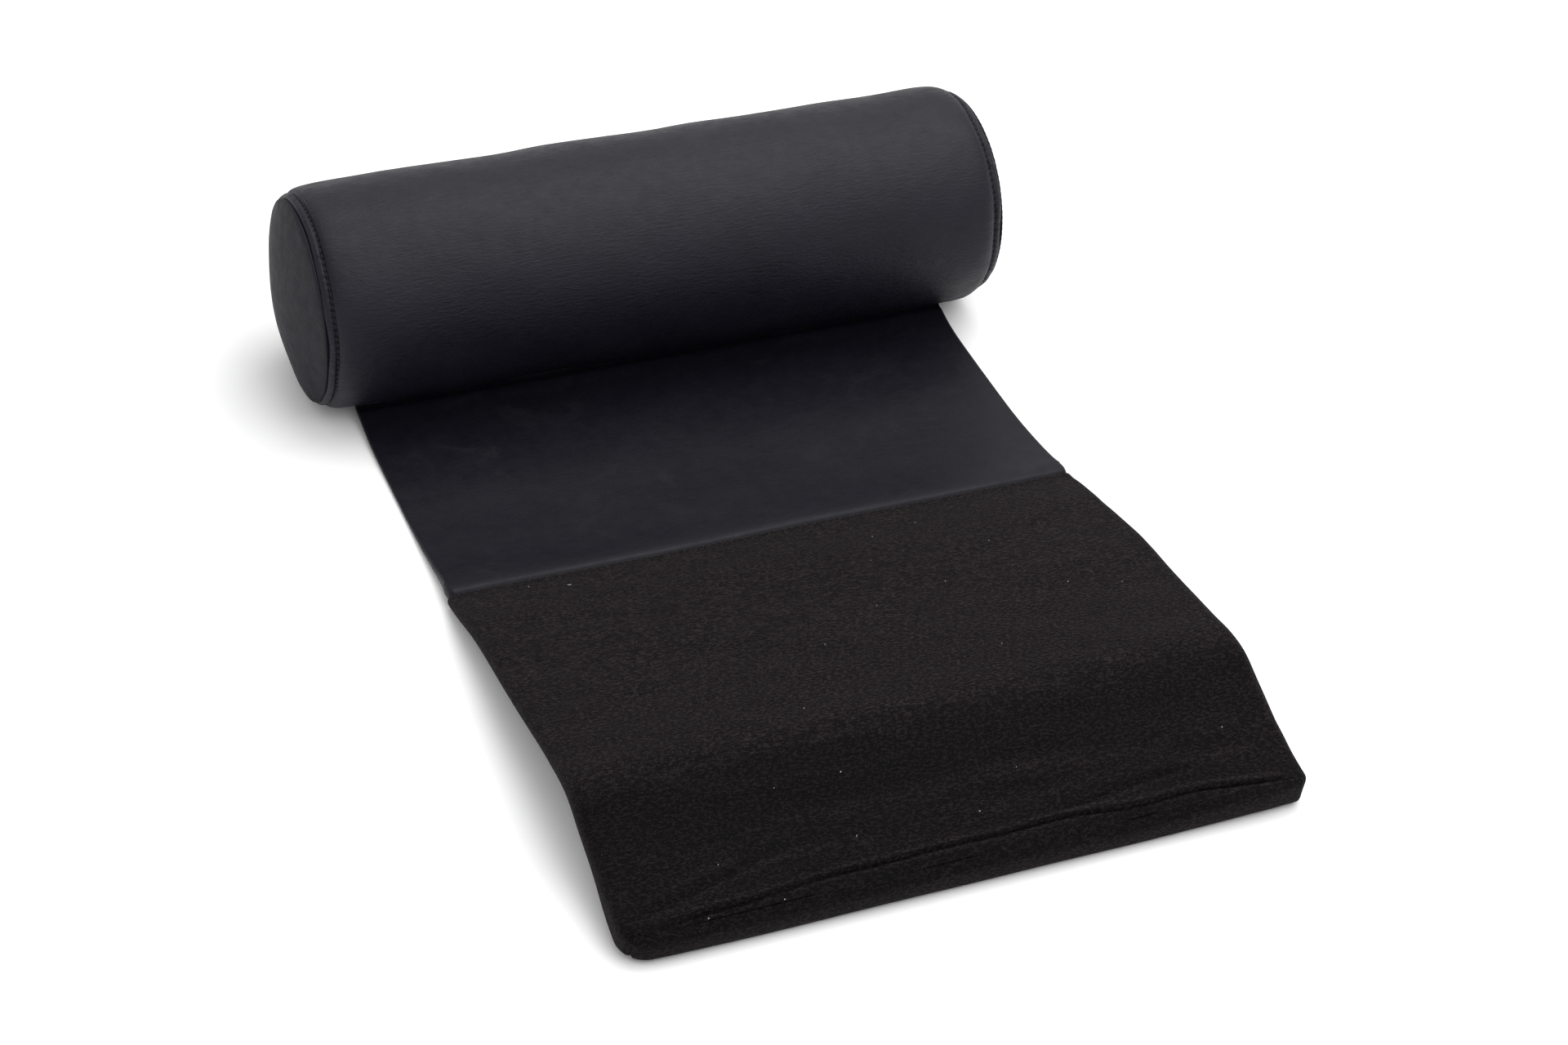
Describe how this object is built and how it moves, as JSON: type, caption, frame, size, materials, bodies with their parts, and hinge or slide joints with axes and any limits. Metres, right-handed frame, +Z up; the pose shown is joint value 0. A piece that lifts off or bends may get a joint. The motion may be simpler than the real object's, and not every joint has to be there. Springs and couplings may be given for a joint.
{
  "type": "weighted neck bolster",
  "caption": "Padded leatherette neck roll with a sewn-on flap that ends in a felt pouch holding a counterweight, for loungers and treatment tables.",
  "frame": {"origin": "on the surface the bolster stands on, under the middle of its whole length and depth", "axes": "+Z up, X along the roll, +Y from the flap's end towards the roll, so the flap points to -Y"},
  "size_m": [0.4, 0.514, 0.1196],
  "materials": {
    "roll_leatherette": "satin",
    "flap_leatherette": "satin",
    "felt": "matte",
    "thread": "satin",
    "foam": "matte",
    "wadding": "matte",
    "liner": "matte",
    "zip_tape": "matte",
    "zip_coil": "satin",
    "zip_metal": "satin",
    "stiffener": "matte",
    "padding": "matte",
    "ticking": "matte",
    "steel_shot": "dull"
  },
  "bodies": {
    "roll": {"foam_core": "foam", "wadding_wrap": "wadding", "liner_sleeve": "liner", "barrel_cover": "roll_leatherette", "end_cap_left": "roll_leatherette", "end_cap_right": "roll_leatherette", "end_stitching_left": "thread", "end_stitching_right": "thread", "root_strip": "roll_leatherette", "root_stitching": "thread", "zip_tape_upper": "zip_tape", "zip_tape_lower": "zip_tape", "zip_coil_upper": "zip_coil", "zip_coil_lower": "zip_coil", "zip_stop_left": "zip_metal", "zip_stop_right": "zip_metal"},
    "slider": {"zip_slider": "zip_metal"},
    "pull": {"zip_pull": "zip_metal"},
    "flap": {"flap_facing": "flap_leatherette", "flap_stiffener": "stiffener", "flap_lining": "flap_leatherette", "pouch_stitching": "thread"},
    "pouch": {"pouch_top_felt": "felt", "pouch_bottom_felt": "felt", "pouch_padding": "padding"},
    "pocket": {"pocket_top_felt": "felt", "pocket_bottom_felt": "felt", "weight_bag": "ticking", "weight_fill": "steel_shot"}
  },
  "joints": [
    {"name": "flap_hinge", "type": "hinge", "parent": "roll", "child": "flap", "pos_m": [0, 0.16761, 0.00432], "axis": [-1, 0, 0], "range_deg": [-150, 35]},
    {"name": "pouch_hinge", "type": "hinge", "parent": "flap", "child": "pouch", "pos_m": [0, -0.001, 0.0055], "axis": [-1, 0, 0], "range_deg": [-100, 100]},
    {"name": "pocket_fold", "type": "hinge", "parent": "pouch", "child": "pocket", "pos_m": [0, -0.178, 0.0323], "axis": [-1, 0, 0], "range_deg": [-60, 90]},
    {"name": "zip_slide", "type": "slide", "parent": "roll", "child": "slider", "axis": [-1, 0, 0], "range_m": [0, 0.286]},
    {"name": "pull_swing", "type": "hinge", "parent": "slider", "child": "pull", "pos_m": [0.143, 0.2528, 0.02992], "axis": [0, 0.4695, 0.8829], "range_deg": [0, 180]}
  ]
}
